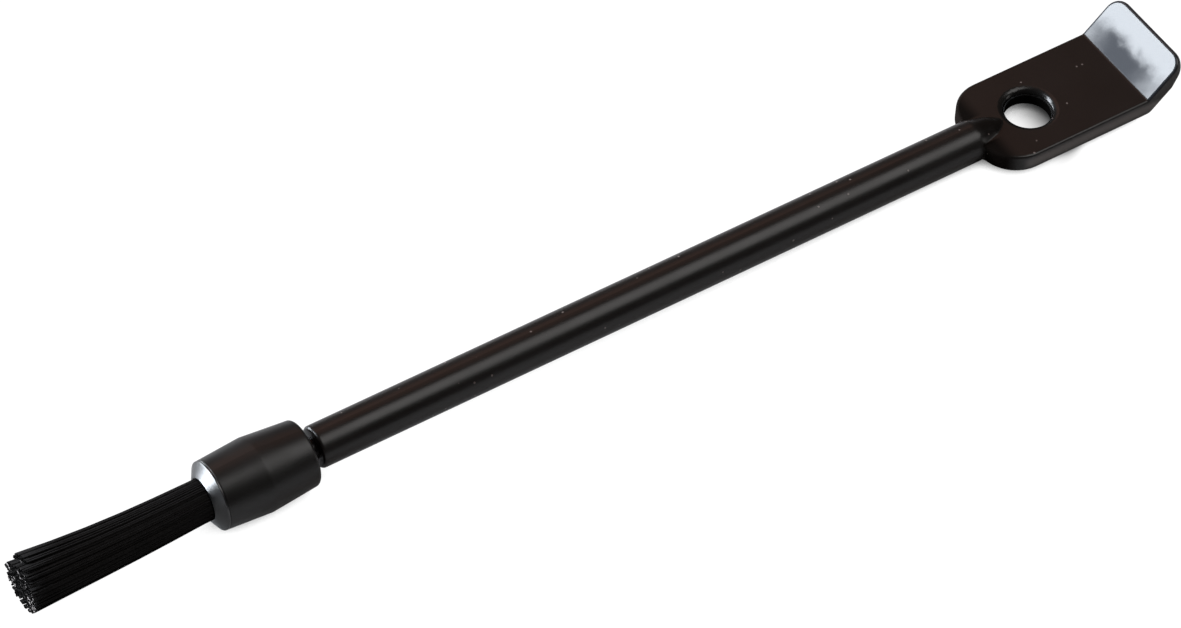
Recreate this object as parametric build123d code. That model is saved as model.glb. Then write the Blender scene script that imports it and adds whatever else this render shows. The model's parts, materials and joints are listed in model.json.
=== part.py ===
from build123d import *
import os
from math import asin, cos, degrees, pi, radians, sin, sqrt

# Crevice brush, in millimetres. The tool lies along X: the bristles point to -X and the scraper
# blade to +X. It stands on the widest ring of the collar, at Z = 0. The shapes are modelled about
# the X axis, and every finished piece is then raised by the height of the tool's axis.

# Handle: rod, and the thin neck that the brush head is pushed on
rod_diameter = 6.0
rod_length = 105.9
rod_front_rounding = 0.5
neck_diameter = 3.0
neck_gap = 1.4                 # length of bare neck between the collar and the rod
neck_seat_depth = 6.4          # length of neck inside the collar
neck_chamfer = 0.4

# Handle: paddle with its hanging hole, and the fairing that runs from the rod onto it
paddle_length = 24.5           # from the paddle's rod end to the fold of the blade
paddle_width = 15.5
paddle_thickness = 2.8
paddle_corner_radius = 5.6
paddle_blend_radius = 0.8      # hollow curve from the rod out to the paddle's corner
paddle_root_width = 5.2        # narrow root of the paddle, wholly inside the rod
paddle_root_length = 4.2
paddle_edge_rounding = 0.4
hole_diameter = 6.6
hole_set_back = 9.5            # from the paddle's rod end to the hole's centre
hole_rim_rounding = 1.0        # of the upper rim
hole_low_rim_rounding = 0.3
fairing_start_rounding = 2.5
fairing_knee_length = 3.0      # from the paddle's rod end to where the fairing turns steeper
fairing_knee_diameter = 4.6
fairing_knee_rounding = 3.0
fairing_sink = 0.05            # how far the fairing's end lies under the paddle's faces

# Handle: scraper blade, bent up from the paddle's far end
blade_length = 7.4
blade_angle = 43.0
blade_tip_thickness = 0.9
blade_corner_radius = 2.3
blade_root_thickness = 2.5
blade_root_length = 3.4        # from the fold to the start of the bevel that thins the tip
bevel_rounding = 0.8
fold_radius = 0.5
heel_radius = 1.5

# Collar: barrel of two shallow cones that meet in the crown
collar_front_diameter = 9.8
collar_crown_diameter = 10.7
collar_rear_diameter = 9.4
collar_front_length = 6.6
collar_rear_length = 7.3
collar_front_rounding = 0.2
collar_rear_rounding = 0.5
collar_crown_rounding = 2.0

# Ferrule: coned nose in front of the collar, and a shank inside it
nose_length = 1.3
nose_lip = 0.15                # wall that is left at the very front of the nose
nose_land = 0.2                # straight rim of the nose, next to the collar
nose_land_rounding = 0.1
shank_diameter = 7.6
shank_length = 6.4

# Bristles
tuft_length = 27.0             # from the nose to the longest tip
tuft_root_diameter = 6.0       # where the bundle leaves the ferrule
tuft_tip_diameter = 7.9
bristle_count = 400
bristle_width = 0.16
tip_unevenness = 0.7           # the shortest bristle ends this far behind the longest
tip_wander = 0.05              # how far a tip strays to the side of its place
bundle_depth = 4.0             # how far the free bristles reach into the ferrule
root_slice_thickness = 1.0
root_overlap = 0.2
golden_angle = pi * (3 - sqrt(5))   # turn from each bristle's place to the next
tip_phase_share = 0.618
side_phase_share = 0.754
rise_phase_share = 0.569

# Fits between the pieces
running_clearance = 0.05       # radial, between the neck and its bore
end_clearance = 0.1            # between the neck's end and the bottom of its bore
seat_clearance = 0.02          # radial, between pieces that are pressed or bonded together

# Stations along X, from the bristle tips to the end of the blade
blade_run = blade_length * cos(radians(blade_angle))
blade_rise = blade_length * sin(radians(blade_angle))
blade_tip_run = blade_tip_thickness * sin(radians(blade_angle))
blade_tip_drop = blade_tip_thickness * cos(radians(blade_angle))
collar_length = collar_front_length + collar_rear_length
overall_length = (tuft_length + nose_length + collar_length + neck_gap + rod_length
                  + paddle_length + blade_run + blade_tip_run)
tip_x = -overall_length / 2
nose_x = tip_x + tuft_length
rim_x = nose_x + nose_length
crown_x = rim_x + collar_front_length
collar_end_x = rim_x + collar_length
rod_front_x = collar_end_x + neck_gap
paddle_x = rod_front_x + rod_length
hole_x = paddle_x + hole_set_back
fold_x = paddle_x + paddle_length
root_x = paddle_x - paddle_root_length
shank_end_x = rim_x + shank_length
root_slice_x = nose_x + bundle_depth
axis_height = collar_crown_diameter / 2


def turned(*corners):
    """A solid turned about the X axis, from corners given as station, radius and rounding."""
    points = [(station, radius) for station, radius, rounding in corners]
    roundings = [rounding for station, radius, rounding in corners]
    outline = FilletPolyline(*points, radius=roundings, close=True)
    return revolve(Plane.XZ * make_face(outline), Axis.X)


def disc(start_x, end_x, radius):
    """A plain round disc or rod between two stations."""
    return turned((start_x, 0, 0), (start_x, radius, 0), (end_x, radius, 0), (end_x, 0, 0))


def make_rod():
    """Neck, rod and the cone that fairs the rod into the paddle, as one turned solid."""
    neck_radius = neck_diameter / 2
    rod_radius = rod_diameter / 2
    neck_end_x = collar_end_x - neck_seat_depth
    knee_x = paddle_x + fairing_knee_length
    fairing_end_x = hole_x - hole_diameter / 2 - hole_rim_rounding
    fairing_end_radius = paddle_thickness / 2 - fairing_sink
    return turned(
        (neck_end_x, 0, 0),
        (neck_end_x, neck_radius - neck_chamfer, 0),
        (neck_end_x + neck_chamfer, neck_radius, 0),
        (rod_front_x, neck_radius, 0),
        (rod_front_x, rod_radius, rod_front_rounding),
        (paddle_x, rod_radius, fairing_start_rounding),
        (knee_x, fairing_knee_diameter / 2, fairing_knee_rounding),
        (fairing_end_x, fairing_end_radius, 0),
        (fairing_end_x, 0, 0),
    )


def make_paddle_plan():
    """The paddle's outline from above: the root swells through hollow curves to the full width."""
    corner_x = paddle_x + paddle_corner_radius
    corner_y = paddle_width / 2 - paddle_corner_radius
    blend_y = paddle_root_width / 2 + paddle_blend_radius
    reach = paddle_corner_radius + paddle_blend_radius
    blend_x = corner_x - sqrt(reach ** 2 - (blend_y - corner_y) ** 2)
    turn = degrees(asin((blend_y - corner_y) / reach))
    root = Line((root_x, paddle_root_width / 2), (blend_x, paddle_root_width / 2))
    blend = CenterArc((blend_x, blend_y), paddle_blend_radius, -90, 90 - turn)
    corner = CenterArc((corner_x, corner_y), paddle_corner_radius, 180 - turn, turn - 90)
    side = Line((corner_x, paddle_width / 2), (-tip_x, paddle_width / 2))
    half = [root, blend, corner, side]
    other_half = [mirror(line, about=Plane.XZ) for line in half]
    root_end = Line((root_x, -paddle_root_width / 2), (root_x, paddle_root_width / 2))
    far_end = Line((-tip_x, -paddle_width / 2), (-tip_x, paddle_width / 2))
    return make_face(half + other_half + [root_end, far_end])


def make_paddle_side():
    """The paddle from the side: an even plate, and the blade with the bevel under its tip."""
    half_thickness = paddle_thickness / 2
    run_share = cos(radians(blade_angle))
    rise_share = sin(radians(blade_angle))
    heel_run = (blade_root_thickness - paddle_thickness * run_share) / rise_share
    bevel_x = fold_x + blade_root_length * run_share + blade_root_thickness * rise_share
    bevel_z = half_thickness + blade_root_length * rise_share - blade_root_thickness * run_share
    outline = FilletPolyline(
        (root_x, -half_thickness),
        (root_x, half_thickness),
        (fold_x, half_thickness),
        (fold_x + blade_run, half_thickness + blade_rise),
        (fold_x + blade_run + blade_tip_run, half_thickness + blade_rise - blade_tip_drop),
        (bevel_x, bevel_z),
        (fold_x + heel_run, -half_thickness),
        radius=[0, 0, fold_radius, 0, 0, bevel_rounding, heel_radius],
        close=True,
    )
    return make_face(outline)


def make_paddle():
    """Flat paddle and bent blade, with rounded corners and softened edges."""
    plate = extrude(make_paddle_plan(), amount=paddle_width, both=True)
    paddle = plate & extrude(Plane.XZ * make_paddle_side(), amount=paddle_width, both=True)
    tip_face = paddle.faces().sort_by(Axis.X)[-1]
    tip_corners = [edge for edge in tip_face.edges() if abs(edge.center().Y) > paddle_width / 4]
    paddle = fillet(tip_corners, blade_corner_radius)
    return soften_outline(paddle)


def soften_outline(paddle):
    """Round the long edges of the paddle's two broad faces, round the blade's tip included."""
    bends = [face for face in paddle.faces() if face.center().X > paddle_x + paddle_corner_radius]
    broad = [face for face in bends if abs(face.center().Y) < paddle_width / 8]
    broad = [face for face in broad if face.area > blade_tip_thickness * paddle_width]
    outer = []
    for face in broad:
        for edge in face.edges():
            if edge.center().X > root_x and not is_bend_line(edge):
                outer.append(edge)
    return fillet(outer, paddle_edge_rounding)


def is_bend_line(edge):
    """Whether an edge is a straight line right across the paddle, where the blade bends."""
    return edge.geom_type == GeomType.LINE and abs(edge.length - paddle_width) < paddle_edge_rounding


def make_handle():
    """The one-piece handle: neck, rod, paddle with its hanging hole, and scraper blade."""
    hole = Pos(hole_x, 0, 0) * Cylinder(hole_diameter / 2, 2 * paddle_thickness)
    handle = make_rod() + make_paddle() - hole
    handle = fillet(find_hole_rims(handle)[-1], hole_rim_rounding)
    return fillet(find_hole_rims(handle)[0], hole_low_rim_rounding)


def find_hole_rims(handle):
    """The circular edges of the hole's bore, from the lowest to the highest."""
    circles = handle.edges().filter_by(GeomType.CIRCLE).sort_by(Axis.Z)
    return [edge for edge in circles if abs(edge.length - pi * hole_diameter) < hole_low_rim_rounding]


def make_collar():
    """Barrel collar: a bore in front for the ferrule, a web, and a bore behind for the neck."""
    shank_bore = shank_diameter / 2 + seat_clearance
    neck_bore = neck_diameter / 2 + running_clearance
    neck_bore_end_x = collar_end_x - neck_seat_depth - end_clearance
    return turned(
        (shank_end_x, 0, 0),
        (shank_end_x, shank_bore, 0),
        (rim_x, shank_bore, 0),
        (rim_x, collar_front_diameter / 2, collar_front_rounding),
        (crown_x, collar_crown_diameter / 2, collar_crown_rounding),
        (collar_end_x, collar_rear_diameter / 2, collar_rear_rounding),
        (collar_end_x, neck_bore, 0),
        (neck_bore_end_x, neck_bore, 0),
        (neck_bore_end_x, 0, 0),
    )


def make_ferrule():
    """Bush that holds the bristles: a coned nose in front of the collar and a shank inside it."""
    bore = tuft_root_diameter / 2
    shank = shank_diameter / 2
    return turned(
        (nose_x, bore, 0),
        (nose_x, bore + nose_lip, 0),
        (rim_x - nose_land, collar_front_diameter / 2, nose_land_rounding),
        (rim_x, collar_front_diameter / 2, 0),
        (rim_x, shank, 0),
        (shank_end_x, shank, 0),
        (shank_end_x, bore, 0),
    )


def make_glue_plug():
    """Set glue that fills the ferrule behind the bristles' root."""
    radius = tuft_root_diameter / 2 - seat_clearance
    return disc(root_slice_x + root_slice_thickness, shank_end_x, radius)


def make_bristle(index):
    """One four-sided bristle, from the root slice out to its own place at the tuft's tip."""
    corner = bristle_width / sqrt(2)
    flare = (tuft_tip_diameter - tuft_root_diameter) / tuft_length
    run = bundle_depth + tuft_length - tip_unevenness * wander(index, tip_phase_share)
    start_radius = tuft_root_diameter / 2 - flare * bundle_depth / 2 - seat_clearance - corner
    end_radius = start_radius + flare * run / 2
    spread_share = sqrt((index + 1 / 2) / bristle_count)
    turn = golden_angle * index
    side_y = tip_wander * (2 * wander(index, side_phase_share) - 1)
    side_z = tip_wander * (2 * wander(index, rise_phase_share) - 1)
    start = Vector(root_slice_x + root_overlap, start_radius * spread_share * cos(turn),
                   start_radius * spread_share * sin(turn))
    end = Vector(root_slice_x - run, end_radius * spread_share * cos(turn) + side_y,
                 end_radius * spread_share * sin(turn) + side_z)
    section = Plane(origin=start, x_dir=(0, cos(turn), sin(turn)), z_dir=(-1, 0, 0))
    face = (section * Rectangle(bristle_width, bristle_width)).face()
    return Solid.extrude(face, end - start)


def wander(index, phase_share):
    """A steady scatter between 0 and 1, which is 0 for the first bristle."""
    return (index * phase_share) % 1


def make_bristle_tuft():
    """All the bristles, fused to the slice of resin that holds their roots."""
    radius = tuft_root_diameter / 2 - seat_clearance
    root_slice = disc(root_slice_x, root_slice_x + root_slice_thickness, radius)
    bristles = [make_bristle(index) for index in range(bristle_count)]
    return root_slice.solid().fuse(*bristles)


pieces = {
    "handle": make_handle(),
    "collar": make_collar(),
    "ferrule": make_ferrule(),
    "glue_plug": make_glue_plug(),
    "bristle_tuft": make_bristle_tuft(),
}

os.makedirs("parts", exist_ok=True)
for name, piece in pieces.items():
    raised = Pos(0, 0, axis_height) * piece
    export_step(raised, f"parts/{name}.step")
    box = raised.bounding_box()
    print(f"{name}: {raised.volume:.1f} mm3, X {box.min.X:.2f} to {box.max.X:.2f},"
          f" Y {box.min.Y:.2f} to {box.max.Y:.2f}, Z {box.min.Z:.2f} to {box.max.Z:.2f}")
print(f"overall length {overall_length:.2f} mm, {bristle_count} bristles")
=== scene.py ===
# %% [markdown]
# # Dressing a crevice brush
#
# The tool is a thin black cleaning brush: a round tuft of stiff filaments, a barrel collar, a
# long rod, and a flat paddle with a hanging hole. The paddle's end is bent up as a scraper. The
# solid pieces come ready made at their real size. They could be modelled again here, but then
# every size would have to be kept the same in two places. So this lesson only lights them, gives
# each one the skin of its real material, and grows the bristles filament by filament.

# %% Load the solid pieces
import bpy
import json
import math
import random
from mathutils import Matrix, Vector


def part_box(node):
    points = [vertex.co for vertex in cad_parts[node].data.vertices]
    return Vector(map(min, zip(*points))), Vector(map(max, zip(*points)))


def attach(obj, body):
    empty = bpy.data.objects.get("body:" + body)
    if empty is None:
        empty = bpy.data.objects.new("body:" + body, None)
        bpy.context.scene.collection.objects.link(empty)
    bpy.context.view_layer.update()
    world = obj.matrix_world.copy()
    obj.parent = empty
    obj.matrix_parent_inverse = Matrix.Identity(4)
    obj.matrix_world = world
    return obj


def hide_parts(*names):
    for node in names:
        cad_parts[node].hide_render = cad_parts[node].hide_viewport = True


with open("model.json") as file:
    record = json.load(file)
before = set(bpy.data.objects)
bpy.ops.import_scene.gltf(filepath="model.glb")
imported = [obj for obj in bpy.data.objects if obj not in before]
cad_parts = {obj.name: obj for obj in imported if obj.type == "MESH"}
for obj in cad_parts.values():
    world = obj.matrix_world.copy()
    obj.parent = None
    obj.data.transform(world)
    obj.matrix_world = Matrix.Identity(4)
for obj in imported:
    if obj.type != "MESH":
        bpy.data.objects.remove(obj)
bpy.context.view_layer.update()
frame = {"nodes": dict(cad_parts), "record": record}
nodes = frame["nodes"]
MM = 0.001
print("solid pieces:", ", ".join(sorted(nodes)))

# %% [markdown]
# ## Places that several cells need
#
# A finish that belongs to one spot, such as the polished face of the scraper, needs that spot's
# place. All the places could be typed in as numbers, but they would be wrong as soon as a piece
# changed. So most are read from the boxes of the solid pieces, or from the hanging hole, whose
# place the part's record gives. Only a few sizes that no box shows are typed in.

# %% Places on the tool
mounts = {mount["name"]: mount for mount in frame["record"]["mounts"]}
hole_centre = Vector(mounts["hanging_hole"]["pos_m"])
collar_low, collar_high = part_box("collar")
tuft_low, tuft_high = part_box("bristle_tuft")
nose_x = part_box("ferrule")[0].x
paddle_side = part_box("handle")[1].y
axis_height = (collar_low.z + collar_high.z) / 2

ROD_END_X = 60.5 * MM
PADDLE_THICKNESS = 2.8 * MM
HOLE_TO_FOLD = 15.0 * MM
paddle_top = axis_height + PADDLE_THICKNESS / 2
fold = Vector((hole_centre.x + HOLE_TO_FOLD, 0, paddle_top))
print("nose at", round(nose_x / MM, 2), "fold at", round(fold.x / MM, 2))

# %% [markdown]
# ## Camera
#
# The photograph was taken from the side, 35 degrees round towards the bristles, and about 49
# degrees up. It was taken from some way off with a long lens, so the rod hardly narrows with
# distance. A camera could be dragged into place by eye, or be made to track an empty. Here it is
# placed by the direction it looks from, how far off it stands and the point it looks at, because
# a fit to the outlines in the photograph gives just these numbers. A small roll about its own
# line of sight finishes it.

# %% Camera
VIEW_AZIMUTH = math.radians(-35.04)
VIEW_ELEVATION = math.radians(48.77)
VIEW_ROLL = math.radians(2.8)
VIEW_DISTANCE = 0.7212
LOOK_AT = Vector((-0.00012, 0.00453, 0))
SENSOR_WIDTH_MM = 36
LENS_MM = 162.81
NEAREST_SEEN = 0.01
FARTHEST_SEEN = 50

level = math.cos(VIEW_ELEVATION)
to_camera = Vector((math.sin(VIEW_AZIMUTH) * level, -math.cos(VIEW_AZIMUTH) * level,
                    math.sin(VIEW_ELEVATION)))
camera_data = bpy.data.cameras.new("camera")
camera_data.sensor_width = SENSOR_WIDTH_MM
camera_data.lens = LENS_MM
camera_data.clip_start = NEAREST_SEEN
camera_data.clip_end = FARTHEST_SEEN
camera = bpy.data.objects.new("camera", camera_data)
bpy.context.scene.collection.objects.link(camera)
camera.location = LOOK_AT + to_camera * VIEW_DISTANCE
turn = (-to_camera).to_track_quat("-Z", "Y").to_matrix() @ Matrix.Rotation(VIEW_ROLL, 3, "Z")
camera.rotation_euler = turn.to_euler()
bpy.context.scene.camera = camera
print("camera stands", round(camera.location.z, 3), "m above the table")

# %% [markdown]
# ## A soft lamp
#
# A studio lights black plastic with large soft boxes. A point or sun lamp would leave hard dots
# on it, and a picture of a studio around the scene would have to be loaded from a file. An area
# lamp is a soft box in itself: a glowing rectangle that the plastic mirrors. Its brightness is
# set per area here, so a panel can be made larger without turning brighter.

# %% Lamp helpers
LAMP_WATTS_PER_AREA = 4        # an area lamp of this many watts per square metre looks white
LAMP_DISTANCE = 1.2


def add_panel(name, target, direction, width, height, brightness, colour):
    """A rectangular soft lamp that hangs in a direction from its target and faces it."""
    data = bpy.data.lights.new(name, "AREA")
    data.shape = "RECTANGLE"
    data.size = width
    data.size_y = height
    data.energy = brightness * LAMP_WATTS_PER_AREA * width * height
    data.color = colour
    lamp = bpy.data.objects.new(name, data)
    bpy.context.scene.collection.objects.link(lamp)
    lamp.location = target + direction * LAMP_DISTANCE
    lamp.rotation_euler = (-direction).to_track_quat("-Z", "Y").to_euler()
    print(name, "gives", round(data.energy, 1), "W")


def sky(azimuth, elevation):
    """The direction at an azimuth from +X and an elevation above the table, in degrees."""
    level = math.cos(math.radians(elevation))
    return Vector((math.cos(math.radians(azimuth)) * level,
                   math.sin(math.radians(azimuth)) * level, math.sin(math.radians(elevation))))


print("each lamp hangs", LAMP_DISTANCE, "m from what it lights")

# %% [markdown]
# ## Light
#
# Black plastic shows its shape by what it mirrors, so each lamp hangs where one surface mirrors
# it. A tall bright panel on the left fills the bent face of the scraper, and glints in the hole's
# rim. A low bright strip beside it fills the cone in front of the collar. A much wider and weaker
# panel overhead draws the broad grey band along the rod. A dim warm card behind the tool gives
# its flat faces their brown cast. It leaves the slope at the rod's end dark, because that slope
# mirrors a place beside the card. A dim card on the right shows in the near flank of the rod and
# in the near side of the slope.

# %% Lamps
COOL_WHITE = (0.87, 0.93, 1.0)
SOFT_WHITE = (1.0, 0.975, 0.96)
WARM = (1.0, 0.50, 0.36)
FOLD_TO_BLADE_MIDDLE = Vector((2.7, 0, 2.5)) * MM
blade_middle = fold + FOLD_TO_BLADE_MIDDLE
ring_middle = Vector((nose_x, 0, axis_height))
rod_middle = Vector((0, 0, axis_height))
add_panel("blade_panel", blade_middle, sky(142.8, 24), width=0.34, height=0.76,
          brightness=15.6, colour=COOL_WHITE)
add_panel("ring_strip", ring_middle, sky(134, 1.0), width=1.34, height=0.24,
          brightness=44.0, colour=COOL_WHITE)
add_panel("overhead_panel", rod_middle, sky(-38, 59), width=0.72, height=0.80,
          brightness=1.7, colour=SOFT_WHITE)
add_panel("warm_card", rod_middle, sky(76, 50), width=0.90, height=0.76,
          brightness=0.41, colour=WARM)
add_panel("side_card", rod_middle, sky(-36, 12), width=0.32, height=0.45,
          brightness=0.9, colour=SOFT_WHITE)

# %% [markdown]
# ## Helpers for materials
#
# A material is a graph of nodes. It could be drawn by hand in the node editor, or written out one
# node, value and link at a time. Here a few helpers add a node and fill it in one line, where
# each input takes either a plain value or the output of another node. The rest of the lesson can
# then be read as plain sums of masks.

# %% Node helpers
def fill(tree, socket, value):
    """Link another node's output to a socket, or set the socket to a plain value."""
    if isinstance(value, bpy.types.NodeSocket):
        tree.links.new(value, socket)
    else:
        socket.default_value = value


def add_node(tree, kind, settings=None, **inputs):
    """Add a node to a tree, set its own settings, and fill its inputs by name."""
    node = tree.nodes.new(kind)
    for name, value in (settings or {}).items():
        setattr(node, name, value)
    for name, value in inputs.items():
        fill(tree, node.inputs[name.replace("_", " ")], value)
    return node


def new_material(name):
    """An empty node material, its tree and its surface socket."""
    material = bpy.data.materials.new(name)
    material.use_nodes = True
    material.node_tree.nodes.clear()
    output = material.node_tree.nodes.new("ShaderNodeOutputMaterial")
    return material, material.node_tree, output.inputs["Surface"]


print("node helpers ready")


# %% Helpers for sums
def math_node(tree, operation, *values):
    """The result of a Math node."""
    node = add_node(tree, "ShaderNodeMath", {"operation": operation})
    for socket, value in zip(node.inputs, values):
        fill(tree, socket, value)
    return node.outputs[0]


def times(tree, first, second):
    """Two values or masks multiplied."""
    return math_node(tree, "MULTIPLY", first, second)


def ramp(tree, value, ends, low=0.0, high=1.0):
    """A value turned smoothly from low to high as it goes from one end to the other."""
    node = add_node(tree, "ShaderNodeMapRange", {"interpolation_type": "SMOOTHSTEP"}, Value=value,
                    From_Min=ends[0], From_Max=ends[1], To_Min=low, To_Max=high)
    return node.outputs["Result"]


print("sum helpers ready")


# %% Helpers for places
def vector_math(tree, operation, *values):
    """A Vector Math node, whose result can be a vector or a value."""
    node = add_node(tree, "ShaderNodeVectorMath", {"operation": operation})
    for socket, value in zip(node.inputs, values):
        fill(tree, socket, value)
    return node


def own_place(tree):
    """The place of each point on its own object."""
    return tree.nodes.new("ShaderNodeTexCoord").outputs["Object"]


def own_axes(tree):
    """The same place as three values: X, Y and Z."""
    return add_node(tree, "ShaderNodeSeparateXYZ", Vector=own_place(tree)).outputs


print("place helpers ready")

# %% [markdown]
# ## Table
#
# The tool lies on a plain white table. It touches the table with the crown of its collar and with
# the far end of its rod. The tool could be tipped to lie on a level table, but its pieces stay as
# they are, so the table is tipped instead, by the small angle between the two.

# %% Table top
TABLE_SIDE = 6
ROD_RADIUS = 3.0 * MM
COLLAR_TO_CROWN = 6.6 * MM
crown_x = collar_low.x + COLLAR_TO_CROWN
table_tip = math.atan2(axis_height - ROD_RADIUS, ROD_END_X - crown_x)

bpy.ops.object.select_all(action="DESELECT")
bpy.ops.mesh.primitive_plane_add(size=TABLE_SIDE, location=(0, 0, 0))
table = bpy.context.object
table.name = "table"
table.data.transform(Matrix.Translation((crown_x, 0, 0)) @ Matrix.Rotation(-table_tip, 4, "Y"))
print("table tipped by", round(math.degrees(table_tip), 2), "degrees")

# %% [markdown]
# ## The table's white
#
# In the photograph the table is as white as paper, with soft shadows only close to the tool.
# Stronger lamps would whiten it too, but would also grey the black plastic. So the table is a
# plain pale board for all other light, and has a glow that only the camera sees. Ambient
# occlusion tells how near the tool is, and darkens the glow there. Under the hanging hole the
# glow fades from the rod's side to the scraper's side, which lies in the paddle's shadow.

# %% Table values
BOARD_COLOUR = (0.68, 0.68, 0.68, 1)
BOARD_ROUGHNESS = 0.5
GLOW_SHARE = 0.95
SHADOW_REACH = 12 * MM
OPEN_SKY_ENDS = (0.04, 0.38)                 # share of open sky in the darkest shadow and past it
SHADOW_GLOW = 0.1
OPEN_GLOW = 1.1
HOLE_LIGHT = 0.90                            # share of the glow under the edge nearer the rod
HOLE_DARK = 0.06                             # and under the edge nearer the scraper
HOLE_SPAN = (hole_centre.x - 1.2 * MM, hole_centre.x + 5.0 * MM)
HOLE_LIGHT_REACH = (6.5 * MM, 9.0 * MM)      # way from the hole over which these shares end
under_hole = Vector((hole_centre.x, hole_centre.y,
                     (hole_centre.x - crown_x) * math.tan(table_tip)))
print("table under the hole at height", round(under_hole.z / MM, 2))


# %% Table finish
def for_camera(tree, unseen, seen, share):
    """One shader that the camera sees by this share, and another for all other light."""
    path = add_node(tree, "ShaderNodeLightPath")
    blend = add_node(tree, "ShaderNodeMixShader",
                     Fac=times(tree, path.outputs["Is Camera Ray"], share))
    fill(tree, blend.inputs[1], unseen.outputs[0])
    fill(tree, blend.inputs[2], seen.outputs[0])
    return blend.outputs[0]


def table_material():
    """A pale board, and a white glow for the camera with soft shadows near the tool."""
    material, tree, surface = new_material("white_table")
    board = add_node(tree, "ShaderNodeBsdfPrincipled", Base_Color=BOARD_COLOUR,
                     Roughness=BOARD_ROUGHNESS)
    nearness = add_node(tree, "ShaderNodeAmbientOcclusion", Distance=SHADOW_REACH)
    shadow = ramp(tree, nearness.outputs["AO"], OPEN_SKY_ENDS, SHADOW_GLOW, OPEN_GLOW)
    in_hole = ramp(tree, own_axes(tree)["X"], HOLE_SPAN, HOLE_LIGHT, HOLE_DARK)
    hole_way = vector_math(tree, "DISTANCE", own_place(tree), under_hole).outputs["Value"]
    share = ramp(tree, hole_way, HOLE_LIGHT_REACH, in_hole, 1.0)
    glow = add_node(tree, "ShaderNodeEmission", Color=(1, 1, 1, 1),
                    Strength=times(tree, shadow, share))
    fill(tree, surface, for_camera(tree, board, glow, GLOW_SHARE))
    return material


table.data.materials.append(table_material())
print("table finish:", table.data.materials[0].name)

# %% [markdown]
# ## Surroundings
#
# Past the table the photograph is white, and the room around the tool is dark. A white backdrop
# sheet could stand behind the table, but the plastic would mirror it. The world background can
# be both at once: white for the camera, and a faint warm grey for everything else.

# %% Surroundings
ROOM_COLOUR = (1.0, 0.97, 0.94, 1)
ROOM_LIGHT = 0.045
world = bpy.data.worlds.new("studio")
bpy.context.scene.world = world
world.use_nodes = True
tree = world.node_tree
tree.nodes.clear()
output = tree.nodes.new("ShaderNodeOutputWorld")
room = add_node(tree, "ShaderNodeBackground", Color=ROOM_COLOUR, Strength=ROOM_LIGHT)
white = add_node(tree, "ShaderNodeBackground", Color=(1, 1, 1, 1), Strength=1.0)
fill(tree, output.inputs["Surface"], for_camera(tree, room, white, 1.0))
bpy.context.scene.view_settings.view_transform = "Standard"
print("light from the room:", ROOM_LIGHT, "of white")

# %% [markdown]
# ## Effects that the plastics share
#
# The moulded pieces have the same faint mould grain, and most of them have picked up the same
# pale specks of dust. The nodes could be repeated in each material. Instead each effect is built
# once as a node group with named inputs and outputs, and is then placed in each material with
# its own values, so a change to the effect reaches all of them.

# %% Node group helpers
def new_group(name, inputs, outputs):
    """A shader node group with the float inputs and outputs named."""
    group = bpy.data.node_groups.new(name, "ShaderNodeTree")
    for label, value in inputs.items():
        socket = group.interface.new_socket(label, in_out="INPUT", socket_type="NodeSocketFloat")
        socket.default_value = value
    for label in outputs:
        group.interface.new_socket(label, in_out="OUTPUT", socket_type="NodeSocketFloat")
    return group, group.nodes.new("NodeGroupInput"), group.nodes.new("NodeGroupOutput")


def use_group(tree, group, **inputs):
    """The outputs of a node group that is placed in a material with its own values."""
    node = tree.nodes.new("ShaderNodeGroup")
    node.node_tree = group
    for name, value in inputs.items():
        fill(tree, node.inputs[name.replace("_", " ")], value)
    return node.outputs


print("group helpers ready")

# %% [markdown]
# ## Mould grain
#
# A steel mould leaves a fine grain on plastic, and the plastic cools a little unevenly, which
# clouds its shade and gloss. Both could be painted as pictures. Noise does it without one and has
# no seams, because it is worked out for each point in space: a fine noise gives the height of the
# grain, and a broad one the mottle.

# %% Mould grain group
def build_grain_group():
    """Fine mould grain as a height, and a broad mottle that clouds colour and roughness."""
    group, ins, outs = new_group("mould_grain", {"Grain per m": 6000.0, "Mottle per m": 160.0},
                                 ["Height", "Mottle"])
    place = own_place(group)
    fine = add_node(group, "ShaderNodeTexNoise", Vector=place, Scale=ins.outputs["Grain per m"],
                    Detail=2.0, Roughness=0.55)
    broad = add_node(group, "ShaderNodeTexNoise", Vector=place,
                     Scale=ins.outputs["Mottle per m"], Detail=4.0, Roughness=0.6)
    fill(group, outs.inputs["Height"], fine.outputs[0])
    fill(group, outs.inputs["Mottle"], broad.outputs[0])
    return group


grain_group = build_grain_group()
print("group:", grain_group.name)

# %% [markdown]
# ## Dust
#
# The photograph shows a few pale specks on the black plastic. They could be modelled as tiny
# crumbs, but they are flat and far smaller than a millimetre. A Voronoi pattern sets one dot
# round each cell's centre. Each cell's random colour switches some of the dots off, and noise
# makes their outlines ragged.

# %% Dust speck group
DUST_NOISE_PER_M = 2200.0
DUST_RAGGED_SHARE = 0.06
DUST_EDGE_SHARE = 1.6          # a speck has faded out at this many times its radius


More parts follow.
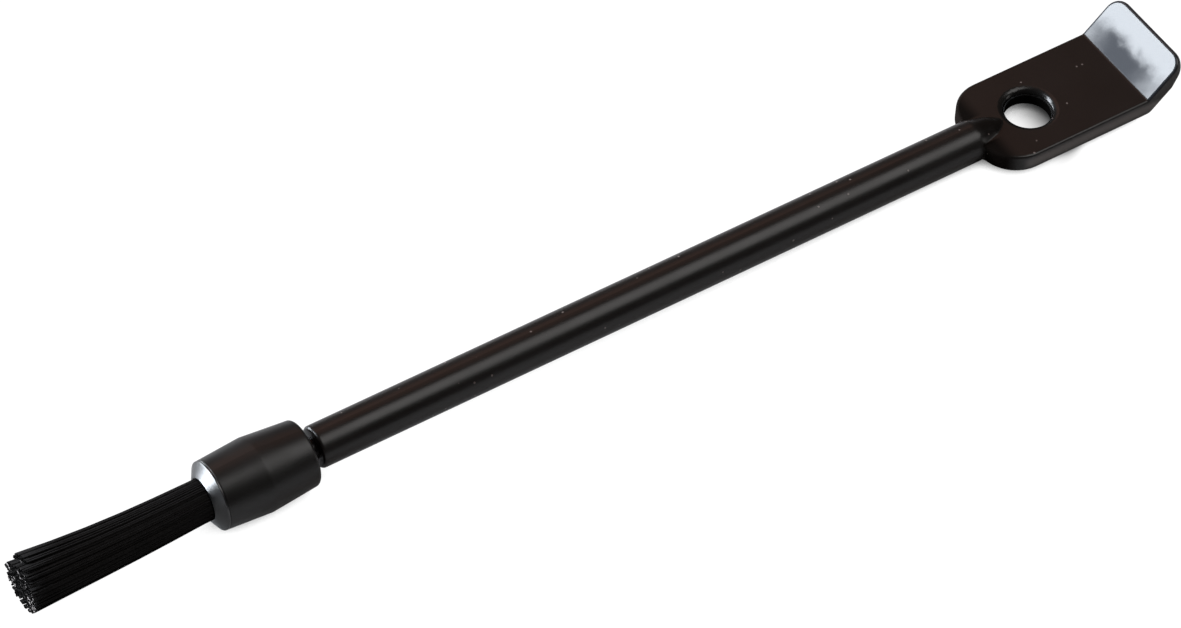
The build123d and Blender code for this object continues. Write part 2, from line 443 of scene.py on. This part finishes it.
def build_dust_group():
    """A mask of small specks."""
    group, ins, outs = new_group("dust_specks", {"Cells per m": 260.0, "Radius": 0.05,
                                                 "Kept share": 0.1}, ["Mask"])
    place = own_place(group)
    noise = add_node(group, "ShaderNodeTexNoise", Vector=place, Scale=DUST_NOISE_PER_M, Detail=2.0)
    cells = add_node(group, "ShaderNodeTexVoronoi", Vector=place, Scale=ins.outputs["Cells per m"])
    ragged = math_node(group, "MULTIPLY_ADD", noise.outputs[0], DUST_RAGGED_SHARE,
                       -DUST_RAGGED_SHARE / 2)
    distance = math_node(group, "ADD", cells.outputs["Distance"], ragged)
    outer = times(group, ins.outputs["Radius"], DUST_EDGE_SHARE)
    dot = ramp(group, distance, (ins.outputs["Radius"], outer), 1.0, 0.0)
    chance = add_node(group, "ShaderNodeSeparateColor", Color=cells.outputs["Color"]).outputs[0]
    kept = math_node(group, "LESS_THAN", chance, ins.outputs["Kept share"])
    fill(group, outs.inputs["Mask"], times(group, dot, kept))
    return group


dust_group = build_dust_group()
print("group:", dust_group.name)

# %% [markdown]
# ## Black plastic
#
# Three pieces are black mouldings: the handle, the collar and the ferrule. Their materials could
# differ in every node, but mouldings of one tool differ only in shade and gloss. So what they
# share stands here: the blend of two colours or values, the bump of the grain, the specks of
# dust, and the Principled shader that shows them.

# %% Plastic helpers
DUST_COLOUR = (0.17, 0.14, 0.13, 1)
DUST_CELLS_PER_M = 500.0
MOTTLE_ENDS = (0.3, 0.7)
GRAIN_HEIGHT = 0.01 * MM
GRAIN_STRENGTH = 0.25
COMMON_SHINE = 0.5             # the Specular IOR Level of common plastic
MIX_SOCKETS = {"RGBA": (0, 6, 7, 2), "FLOAT": (0, 2, 3, 0)}    # factor, A, B and result


def mix(tree, kind, mask, first, second):
    """Blend two colours (RGBA) or two values (FLOAT) by a mask."""
    factor, start, end, result = MIX_SOCKETS[kind]
    node = add_node(tree, "ShaderNodeMix", {"data_type": kind})
    for index, value in ((factor, mask), (start, first), (end, second)):
        fill(tree, node.inputs[index], value)
    return node.outputs[result]


def bump(tree, height, distance=GRAIN_HEIGHT, strength=GRAIN_STRENGTH):
    """Turn a height into a bent normal."""
    node = add_node(tree, "ShaderNodeBump", Height=height, Distance=distance, Strength=strength)
    return node.outputs["Normal"]


def show(tree, surface, **inputs):
    """Add a Principled shader with these inputs and link it to the surface."""
    shader = add_node(tree, "ShaderNodeBsdfPrincipled", **inputs)
    fill(tree, surface, shader.outputs[0])


print("dust cells are", round(1 / DUST_CELLS_PER_M / MM, 1), "mm wide")

# %% [markdown]
# ## Handle: the face of the scraper
#
# The blade's face mirrors the lamp, since use has polished it, but a dull film has stayed along
# the fold: cloudy, and thinner towards the blade's sides. Both get a paler and bluer base colour
# than the skin, partly a painted reflection of the cool lamp, a little darker on the film. The
# blade could be cut off as a piece with its own material, but it is one moulding with the handle,
# so masks pick its finish by place. A Mapping node moves the origin to the fold and turns the axes
# to lie along the blade, and the film is then a matter of two distances: past the fold, and off the
# blade's middle.

# %% Blade face
BLADE_ANGLE = math.radians(43)
FACE_DEPTH = (0.05 * MM, 0.3 * MM)     # way off the face's plane over which the mask ends
FACE_START = (0.05 * MM, 0.25 * MM)    # way past the fold over which it starts


def along_blade(tree):
    """The place of each point in the blade's axes: X past the fold, Y across, Z off its face."""
    turned = add_node(tree, "ShaderNodeMapping", {"vector_type": "TEXTURE"},
                      Vector=own_place(tree), Location=tuple(fold), Rotation=(0, -BLADE_ANGLE, 0))
    return turned.outputs[0]


def blade_face(tree, blade_axes):
    """Mask of the blade's upper face."""
    depth = math_node(tree, "ABSOLUTE", blade_axes["Z"])
    on_face = ramp(tree, depth, FACE_DEPTH, 1.0, 0.0)
    return times(tree, on_face, ramp(tree, blade_axes["X"], FACE_START))


print("blade bent up by", round(math.degrees(BLADE_ANGLE)), "degrees")

# %% Dull film
FILM_END = (2.2 * MM, 4.8 * MM)        # way past the fold over which the film ends
FILM_MIDDLE = 0.3 * MM
FILM_SIDES = (2.0 * MM, 9.5 * MM)      # way from its middle over which it thins
FILM_THIN_SHARE = 0.25
FILM_RAGGED = 3.2 * MM
FILM_CLOUDS_PER_M = 420.0
NOISE_MIDDLE = 0.5


def dull_film(tree, blade_place, blade_axes):
    """Mask of the dull film along the fold."""
    cloud = add_node(tree, "ShaderNodeTexNoise", Vector=blade_place, Scale=FILM_CLOUDS_PER_M,
                     Detail=3.0, Roughness=0.55).outputs[0]
    shift = times(tree, math_node(tree, "SUBTRACT", cloud, NOISE_MIDDLE), FILM_RAGGED)
    past_fold = math_node(tree, "ADD", blade_axes["X"], shift)
    off_middle = math_node(tree, "ABSOLUTE",
                           math_node(tree, "SUBTRACT", blade_axes["Y"], FILM_MIDDLE))
    off_middle = math_node(tree, "ADD", off_middle, shift)
    return times(tree, ramp(tree, past_fold, FILM_END, 1.0, 0.0),
                 ramp(tree, off_middle, FILM_SIDES, 1.0, FILM_THIN_SHARE))


print("film ends", round(FILM_END[0] / MM, 1), "to", round(FILM_END[1] / MM, 1), "mm past the fold")

# %% [markdown]
# ## Handle: walls, hole and root
#
# The paddle's long walls are painted paler half way up, a painted reflection of the bright table
# below them. The hanging hole's rim is smooth, and its rim and bore are painted darker, as painted
# shade in the hole. What rubbing doesn't reach has stayed dull: the paddle's edges beside the rod,
# the slope at the rod's end, and the inside of the hole. Each could be painted by hand on the mesh.
# A mask made of distances needs no painting, and has an edge as soft as the two ends of its ramp
# allow.

# %% Wall and hole masks
WALL_OUTWARD = (paddle_side - 0.45 * MM, paddle_side - 0.03 * MM)
WALL_HEIGHT = (0.2 * MM, 1.3 * MM)     # way up or down from the middle over which the painted reflection ends
RIM_REACH = (3.4 * MM, 4.4 * MM)


def painted_wall_reflection(tree):
    """Mask of the painted reflection on the paddle's two long walls, strongest half way up."""
    axes = own_axes(tree)
    outward = math_node(tree, "ABSOLUTE", axes["Y"])
    height = math_node(tree, "ABSOLUTE", math_node(tree, "SUBTRACT", axes["Z"], axis_height))
    return times(tree, ramp(tree, outward, WALL_OUTWARD),
                 ramp(tree, height, WALL_HEIGHT, 1.0, 0.0))


def hole_rim(tree):
    """Mask of the hanging hole's bore and of its rounded rim."""
    offset = vector_math(tree, "SUBTRACT", own_place(tree), hole_centre).outputs[0]
    level_offset = vector_math(tree, "MULTIPLY", offset, (1, 1, 0)).outputs[0]
    reach = vector_math(tree, "LENGTH", level_offset).outputs["Value"]
    return ramp(tree, reach, RIM_REACH, 1.0, 0.0)


print("walls", round(paddle_side / MM, 2), "and rim up to", round(RIM_REACH[1] / MM, 2))

# %% Masks of dull places
EDGE_OUTWARD = (2.2 * MM, 2.6 * MM)
EDGE_START = (ROD_END_X - 1.3 * MM, ROD_END_X - 0.9 * MM)
EDGE_END = (ROD_END_X + 0.4 * MM, ROD_END_X + 2.7 * MM)
SLOPE_START = (ROD_END_X - 1.3 * MM, ROD_END_X + 0.3 * MM)
SLOPE_HEIGHT = (paddle_top + 0.05 * MM, paddle_top + 0.2 * MM)
SLOPE_DULL_SHARE = 0.75
BORE_HEIGHT = (paddle_top - 1.1 * MM, paddle_top - 0.8 * MM)


def root_edges(tree, axes):
    """Mask of the paddle's edges beside the rod."""
    beside = ramp(tree, math_node(tree, "ABSOLUTE", axes["Y"]), EDGE_OUTWARD)
    started = ramp(tree, axes["X"], EDGE_START)
    not_ended = ramp(tree, axes["X"], EDGE_END, 1.0, 0.0)
    return times(tree, beside, times(tree, started, not_ended))


def rod_slope(tree, axes):
    """Mask of the slope at the rod's end, which stands above the paddle short of the hole."""
    raised = ramp(tree, axes["Z"], SLOPE_HEIGHT)
    started = ramp(tree, axes["X"], SLOPE_START)
    before_hole = math_node(tree, "LESS_THAN", axes["X"], hole_centre.x)
    return times(tree, raised, times(tree, started, before_hole))


def dull_places(tree, rim):
    """Mask of the places that rubbing doesn't reach."""
    axes = own_axes(tree)
    bore = times(tree, rim, ramp(tree, axes["Z"], BORE_HEIGHT, 1.0, 0.0))
    slope = times(tree, rod_slope(tree, axes), SLOPE_DULL_SHARE)
    slope_or_bore = math_node(tree, "MAXIMUM", slope, bore)
    return math_node(tree, "MAXIMUM", root_edges(tree, axes), slope_or_bore)


print("slope starts at", round(SLOPE_START[0] / MM, 1))

# %% [markdown]
# ## Handle: its skin
#
# The handle is one moulding of black plastic, satin and slightly brown. Several materials, one
# for each region, would meet in hard lines. So it has one material, in which the masks blend the
# colour, the roughness and the strength of the mirrored light from one region to the next.

# %% Handle colours
HANDLE_BLACK = (0.0084, 0.0066, 0.0058, 1)
HANDLE_CLOUD = (0.0104, 0.0082, 0.0072, 1)
# painted reflection: the walls are paler where they mirror the bright table
WALL_PAINTED_REFLECTION = (0.130, 0.115, 0.109, 1)
# painted shade: the hole's rim and bore are darker where shade falls in the hole
BORE_PAINTED_SHADE = (0.0040, 0.0036, 0.0033, 1)
# paler and bluer than the skin: partly a painted reflection of the cool lamp
BLADE_POLISH_AND_SHEEN = (0.030, 0.032, 0.036, 1)
BLADE_FILM_AND_SHEEN = (0.018, 0.021, 0.028, 1)


def handle_colour(tree, mottle, rim, on_blade, film):
    """The colours of skin, dust and blade, with painted reflection on the walls and painted shade
    in the hole, blended by their masks.
    """
    dust = use_group(tree, dust_group, Cells_per_m=DUST_CELLS_PER_M, Radius=0.06, Kept_share=0.8)
    skin = mix(tree, "RGBA", mottle, HANDLE_BLACK, HANDLE_CLOUD)
    # the paler walls are a painted reflection of the table
    skin = mix(tree, "RGBA", painted_wall_reflection(tree), skin, WALL_PAINTED_REFLECTION)
    # painted shade in the hanging hole's rim and bore
    skin = mix(tree, "RGBA", rim, skin, BORE_PAINTED_SHADE)
    skin = mix(tree, "RGBA", dust["Mask"], skin, DUST_COLOUR)
    # the blade's base colour is partly a painted reflection of the cool lamp
    blade = mix(tree, "RGBA", film, BLADE_POLISH_AND_SHEEN, BLADE_FILM_AND_SHEEN)
    return mix(tree, "RGBA", on_blade, skin, blade)


# the paler wall is a painted reflection of the table
print("a scuffed wall is", round(WALL_PAINTED_REFLECTION[0] / HANDLE_BLACK[0]), "times as pale as the skin")

# %% Handle gloss
SKIN_ROUGHNESS = (0.28, 0.33)
BLADE_ROUGHNESS = (0.17, 0.24)
RIM_ROUGH_SHARE = 0.8
FILM_DULL_SHARE = 0.86
WHOLE_MASK = (0.0, 1.0)


def handle_roughness(tree, mottle, rim, on_blade, film):
    """Satin skin, a smoother rim, and a polished blade."""
    skin = ramp(tree, mottle, MOTTLE_ENDS, *SKIN_ROUGHNESS)
    skin = times(tree, skin, ramp(tree, rim, WHOLE_MASK, 1.0, RIM_ROUGH_SHARE))
    blade = ramp(tree, film, WHOLE_MASK, *BLADE_ROUGHNESS)
    return mix(tree, "FLOAT", on_blade, skin, blade)


def handle_shine(tree, rim, on_blade, film):
    """Strength of the mirrored light, which the dull places lack."""
    film = times(tree, times(tree, film, on_blade), FILM_DULL_SHARE)
    dull = math_node(tree, "MAXIMUM", film, dull_places(tree, rim))
    return math_node(tree, "SUBTRACT", COMMON_SHINE, times(tree, dull, COMMON_SHINE))


print("roughness of the skin", SKIN_ROUGHNESS, "and of the blade", BLADE_ROUGHNESS)


# %% Handle material
def handle_material():
    """Satin brown-black plastic, dusted, with the scraper's polished face."""
    material, tree, surface = new_material("handle_plastic_skin")
    grain = use_group(tree, grain_group, Grain_per_m=7000.0, Mottle_per_m=120.0)
    blade_place = along_blade(tree)
    blade_axes = add_node(tree, "ShaderNodeSeparateXYZ", Vector=blade_place).outputs
    on_blade = blade_face(tree, blade_axes)
    film = dull_film(tree, blade_place, blade_axes)
    rim = hole_rim(tree)
    show(tree, surface, Normal=bump(tree, grain["Height"]),
         Base_Color=handle_colour(tree, grain["Mottle"], rim, on_blade, film),
         Roughness=handle_roughness(tree, grain["Mottle"], rim, on_blade, film),
         Specular_IOR_Level=handle_shine(tree, rim, on_blade, film))
    return material


nodes["handle"].material_slots[0].material = handle_material()
print("handle:", nodes["handle"].material_slots[0].material.name)

# %% [markdown]
# ## Collar
#
# The collar is the same kind of satin moulding as the handle, with a cooler black and fewer
# specks. It could share the handle's material, but none of the handle's regions exist on it. A
# function makes a plain plastic from two shades, a grain and a gloss, so the ferrule can use it
# too.

# %% Collar plastic
COLLAR_BLACK = (0.0076, 0.0068, 0.0063, 1)
COLLAR_CLOUD = (0.0094, 0.0085, 0.0078, 1)
ROUGHNESS_SPREAD = 0.03


def plain_plastic(name, dark, pale, grain_per_m, roughness, dust_share, shine=COMMON_SHINE):
    """A moulded black plastic with grain, mottle and a little dust."""
    material, tree, surface = new_material(name)
    grain = use_group(tree, grain_group, Grain_per_m=grain_per_m, Mottle_per_m=190.0)
    dust = use_group(tree, dust_group, Cells_per_m=DUST_CELLS_PER_M, Radius=0.05,
                     Kept_share=dust_share)
    colour = mix(tree, "RGBA", grain["Mottle"], dark, pale)
    colour = mix(tree, "RGBA", dust["Mask"], colour, DUST_COLOUR)
    rough = ramp(tree, grain["Mottle"], MOTTLE_ENDS, roughness - ROUGHNESS_SPREAD,
                 roughness + ROUGHNESS_SPREAD)
    show(tree, surface, Base_Color=colour, Roughness=rough, Specular_IOR_Level=shine,
         Normal=bump(tree, grain["Height"]))
    return material


collar_skin = plain_plastic("collar_plastic_skin", COLLAR_BLACK, COLLAR_CLOUD,
                            grain_per_m=6500.0, roughness=0.37, dust_share=0.25)
nodes["collar"].material_slots[0].material = collar_skin
print("collar:", collar_skin.name)

# %% [markdown]
# ## Ferrule
#
# The ferrule in front of the collar mirrors more than the other pieces do, which is why its cone
# carries such a hard white light while the rest of it stays black. It could be taken for metal,
# but metal would be grey where nothing bright is mirrored. So it is a darker and glossier
# plastic, with a stronger mirrored light and no dust.

# %% Ferrule plastic
FERRULE_BLACK = (0.0018, 0.0018, 0.0020, 1)
FERRULE_CLOUD = (0.0026, 0.0026, 0.0029, 1)
ferrule_skin = plain_plastic("ferrule_plastic_skin", FERRULE_BLACK, FERRULE_CLOUD,
                             grain_per_m=9000.0, roughness=0.3, dust_share=0.0, shine=1.0)
nodes["ferrule"].material_slots[0].material = ferrule_skin
print("ferrule:", ferrule_skin.name)

# %% [markdown]
# ## Glue
#
# The set glue behind the bristles is hidden while the brush is whole. It could be left grey, but
# then it would look wrong when the brush is taken apart on screen. It gets the look of cloudy
# amber resin, from the same grain with coarser values.

# %% Set glue
GLUE_AMBER = (0.42, 0.27, 0.1, 1)
GLUE_CLOUD = (0.55, 0.42, 0.24, 1)


def glue_material():
    """Cloudy amber resin with a slightly uneven surface."""
    material, tree, surface = new_material("set_glue_resin")
    grain = use_group(tree, grain_group, Grain_per_m=1500.0, Mottle_per_m=700.0)
    colour = mix(tree, "RGBA", grain["Mottle"], GLUE_AMBER, GLUE_CLOUD)
    normal = bump(tree, grain["Height"], distance=0.03 * MM, strength=0.4)
    show(tree, surface, Base_Color=colour, Roughness=0.3, Normal=normal)
    return material


nodes["glue_plug"].material_slots[0].material = glue_material()
print("glue:", nodes["glue_plug"].material_slots[0].material.name)

# %% [markdown]
# ## Bristles
#
# The tuft is a few hundred stiff nylon filaments that flare from the ferrule to the tip. They
# cling together in little locks, which draws soft ridges along the tuft and leaves gaps at its
# end. Blender's hair system could grow them, but its strands aren't meshes that can be measured
# or kept. So one filament is modelled, and each copy gets its own mesh, bent to its own place.
#
# The bundle is round all along, and sags a little. Its radius and its centre could be drawn as
# curves, but they change so evenly that two short formulas do.

# %% Shape of the bundle
SAG = 0.27 * MM                 # how far the middle of the bundle bends to its lower front
SAG_DIRECTION = Vector((0, -0.62, -0.78))
NOSE_RADIUS = 2.98 * MM
EVEN_FLARE = 0.7 * MM
TIP_FLARE = 0.5 * MM
TIP_FLARE_POWER = 3


def way_out(x):
    """How far a place lies along the bare bundle: 0 at the ferrule's nose and 1 at the tip."""
    return max(0, (nose_x - x) / (nose_x - tuft_low.x))


def bundle_radius(x):
    """Radius of the whole bundle at a place along the tool: it widens faster towards the tip."""
    share = way_out(x)
    return NOSE_RADIUS + EVEN_FLARE * share + TIP_FLARE * share ** TIP_FLARE_POWER


def bundle_centre(x):
    """Centre of the bundle at a place along the tool, with its slight sag."""
    sag = SAG * math.sin(math.pi * min(way_out(x), 1))
    return Vector((x, 0, axis_height)) + SAG_DIRECTION * sag


print("bundle radius at the tip in mm:", round(bundle_radius(tuft_low.x) / MM, 2))

# %% [markdown]
# A filament is a thin nylon rod. A curve with a bevel would bend by itself, but a cylinder cut
# into short spans keeps the number of faces in hand. It has unit length, so that bending can
# stretch it to any length.

# %% One filament
FILAMENT_RADIUS = 0.145 * MM
FILAMENT_SIDES = 6
FILAMENT_CUTS = 5


def model_filament():
    """A thin rod of unit length, cut into short spans and laid along -X."""
    bpy.ops.object.select_all(action="DESELECT")
    bpy.ops.mesh.primitive_cylinder_add(vertices=FILAMENT_SIDES, radius=FILAMENT_RADIUS, depth=1,
                                        end_fill_type="NGON", location=(0, 0, 0.5))
    filament = bpy.context.object
    filament.name = "filament"
    bpy.ops.object.transform_apply(location=True, rotation=True, scale=True)
    bpy.ops.object.mode_set(mode="EDIT")
    for cut in range(1, FILAMENT_CUTS + 1):
        bpy.ops.mesh.select_all(action="SELECT")
        bpy.ops.mesh.bisect(plane_co=(0, 0, cut / (FILAMENT_CUTS + 1)), plane_no=(0, 0, 1))
    bpy.ops.object.mode_set(mode="OBJECT")
    filament.data.transform(Matrix.Rotation(-math.pi / 2, 4, "Y"))
    return filament


filament = model_filament()
print("a filament has", len(filament.data.polygons), "faces")

# %% [markdown]
# The filaments' sides are matt black, with faint differences from one to the next. Their ends
# were cut through, and some of the cuts show pale. One material with a mask could tell the ends
# from the sides, but a second material slot is simpler: it goes to the faces that look along the
# filament. The face at the root gets it too, but that one is hidden in the ferrule.

# %% Filament finishes
FILAMENT_BLACK = (0.0108, 0.0102, 0.0101, 1)
FILAMENT_CLOUD = (0.0200, 0.0188, 0.0186, 1)
FILAMENT_ROUGHNESS = (0.5, 0.6)
CUT_GREY = (0.220, 0.203, 0.196, 1)
CUT_DARK = (0.0008, 0.0008, 0.0008, 1)
PALE_CUTS = (0.57, 0.61)        # the mottle above which a cut shows pale


def filament_material():
    """Black nylon with faint differences from one filament to the next."""
    material, tree, surface = new_material("bristle_nylon")
    grain = use_group(tree, grain_group, Grain_per_m=2400.0, Mottle_per_m=900.0)
    show(tree, surface, Specular_IOR_Level=0.0,
         Base_Color=mix(tree, "RGBA", grain["Mottle"], FILAMENT_BLACK, FILAMENT_CLOUD),
         Roughness=ramp(tree, grain["Mottle"], MOTTLE_ENDS, *FILAMENT_ROUGHNESS))
    return material


def cut_end_material():
    """Scuffed nylon where the filaments were cut, pale in places."""
    material, tree, surface = new_material("bristle_cut_end")
    grain = use_group(tree, grain_group, Grain_per_m=5000.0, Mottle_per_m=850.0)
    pale = ramp(tree, grain["Mottle"], PALE_CUTS)
    show(tree, surface, Specular_IOR_Level=0.0, Roughness=0.6,
         Base_Color=mix(tree, "RGBA", pale, CUT_DARK, CUT_GREY),
         Normal=bump(tree, grain["Height"], distance=0.02 * MM, strength=0.5))
    return material


print("a pale cut is", round(CUT_GREY[0] / FILAMENT_CLOUD[0]), "times as pale as a side")

# %% Finish the filament
END_FACE_TURN = 0.9             # an end face's normal has at least this much of its length in X
filament.data.materials.append(filament_material())
filament.data.materials.append(cut_end_material())
for face in filament.data.polygons:
    is_end = abs(face.normal.x) > END_FACE_TURN
    face.material_index = 1 if is_end else 0
    face.use_smooth = not is_end
print("end faces:", sum(face.material_index for face in filament.data.polygons))

# %% [markdown]
# Each copy is bent by moving its points. A Curve modifier could bend it along a drawn line, but
# then a line would have to be drawn for every copy. A filament keeps its own place in the
# bundle's round section from root to tip, while the section widens, sags and breaks into locks.
# The pull towards its lock grows along the way, and a slight bow keeps the filaments from
# looking ruled.

# %% Bend a filament
ROOT_SLICE = 1.0 * MM
LOCK_PULL_SHARE = 0.45
LOCK_PULL_POWER = 0.6
root_x = tuft_high.x - ROOT_SLICE


def bend_filament(mesh, place, lock, tip_x, bow):
    """Lay a unit filament along the bundle, at its own place and drawn towards its lock."""
    for vertex in mesh.vertices:
        way = abs(vertex.co.x)
        x = root_x + (tip_x - root_x) * way
        spot = place.lerp(lock, LOCK_PULL_SHARE * way ** LOCK_PULL_POWER)
        line = bundle_centre(x) + spot * (bundle_radius(x) - FILAMENT_RADIUS)
        line += bow * math.sin(math.pi * way)
        vertex.co = line + Vector((0, vertex.co.y, vertex.co.z))


print("tuft length in mm:", round((root_x - tuft_low.x) / MM, 2))

# %% [markdown]
# Places and lengths remain. Random places would clump, so the golden angle spreads the filaments
# and the locks evenly over the bundle's round section, as a flower head sets its seeds. Random
# lengths for single filaments would look like noise. On the real tuft whole locks end unevenly,
# and those on its upper back end about a millimetre early, so each lock draws one length and its
# filaments differ only slightly. The draws start from a fixed seed, so the tuft comes out the
# same each time.

# %% Places and lengths
GOLDEN_ANGLE = math.pi * (3 - math.sqrt(5))
LOCK_COUNT = 110
LOCK_REACH = 1.03
LOCK_STEP = 0.24 * MM           # how unevenly the locks end
OWN_STEP = 0.05 * MM            # how unevenly the filaments of one lock end
SHORT_STEP = 1.1 * MM           # how much earlier the locks on the tuft's upper back end
SHORT_SIDE = Vector((0, 0.6, 0.8))
SHORT_START = 0.74              # share of the radius past which a lock is a short one
SEED = 20
draws = random.Random(SEED)


def spread(index, count):
    """One of the places that are spread evenly over a disc of radius 1."""
    reach = math.sqrt((index + 0.5) / count)
    turn = GOLDEN_ANGLE * index
    return Vector((0, reach * math.cos(turn), reach * math.sin(turn)))


locks = [spread(index, LOCK_COUNT) * LOCK_REACH for index in range(LOCK_COUNT)]
steps = [draws.uniform(0, LOCK_STEP) for lock in locks]
short_locks = [number for number, lock in enumerate(locks) if lock.dot(SHORT_SIDE) > SHORT_START]
for number in short_locks:
    steps[number] += SHORT_STEP
print("short locks:", len(short_locks), "of", LOCK_COUNT)

# %% [markdown]
# The copies could stay separate objects, but hundreds of them are slow to handle, and the tuft
# is one piece. So they are joined when all of them are bent. The joined tuft takes the place of
# the solid one, and rides on the head when that is pulled off the handle.

# %% Grow the tuft
FILAMENT_COUNT = 620
BOW = 0.06 * MM


def grow_tuft(filament):
    """Copy the filament to every place and join the copies to one piece."""
    copies = []
    for index in range(FILAMENT_COUNT):
        place = spread(index, FILAMENT_COUNT)
        nearest = min(range(LOCK_COUNT), key=lambda lock: (locks[lock] - place).length)
        tip_x = tuft_low.x + steps[nearest] + draws.uniform(0, OWN_STEP)
        bow = Vector((0, draws.uniform(-1, 1), draws.uniform(-1, 1))) * BOW
        copy = filament.copy()
        copy.data = filament.data.copy()
        bpy.context.scene.collection.objects.link(copy)
        bend_filament(copy.data, place, locks[nearest], tip_x, bow)
        copies.append(copy)
    bpy.ops.object.select_all(action="DESELECT")
    for copy in copies:
        copy.select_set(True)
    bpy.context.view_layer.objects.active = copies[0]
    bpy.ops.object.join()
    return bpy.context.object


tuft = grow_tuft(filament)
tuft.name = "bristles"
bpy.data.objects.remove(filament)
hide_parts("bristle_tuft")
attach(tuft, "head")
print("tuft:", FILAMENT_COUNT, "filaments,", len(tuft.data.polygons), "faces")
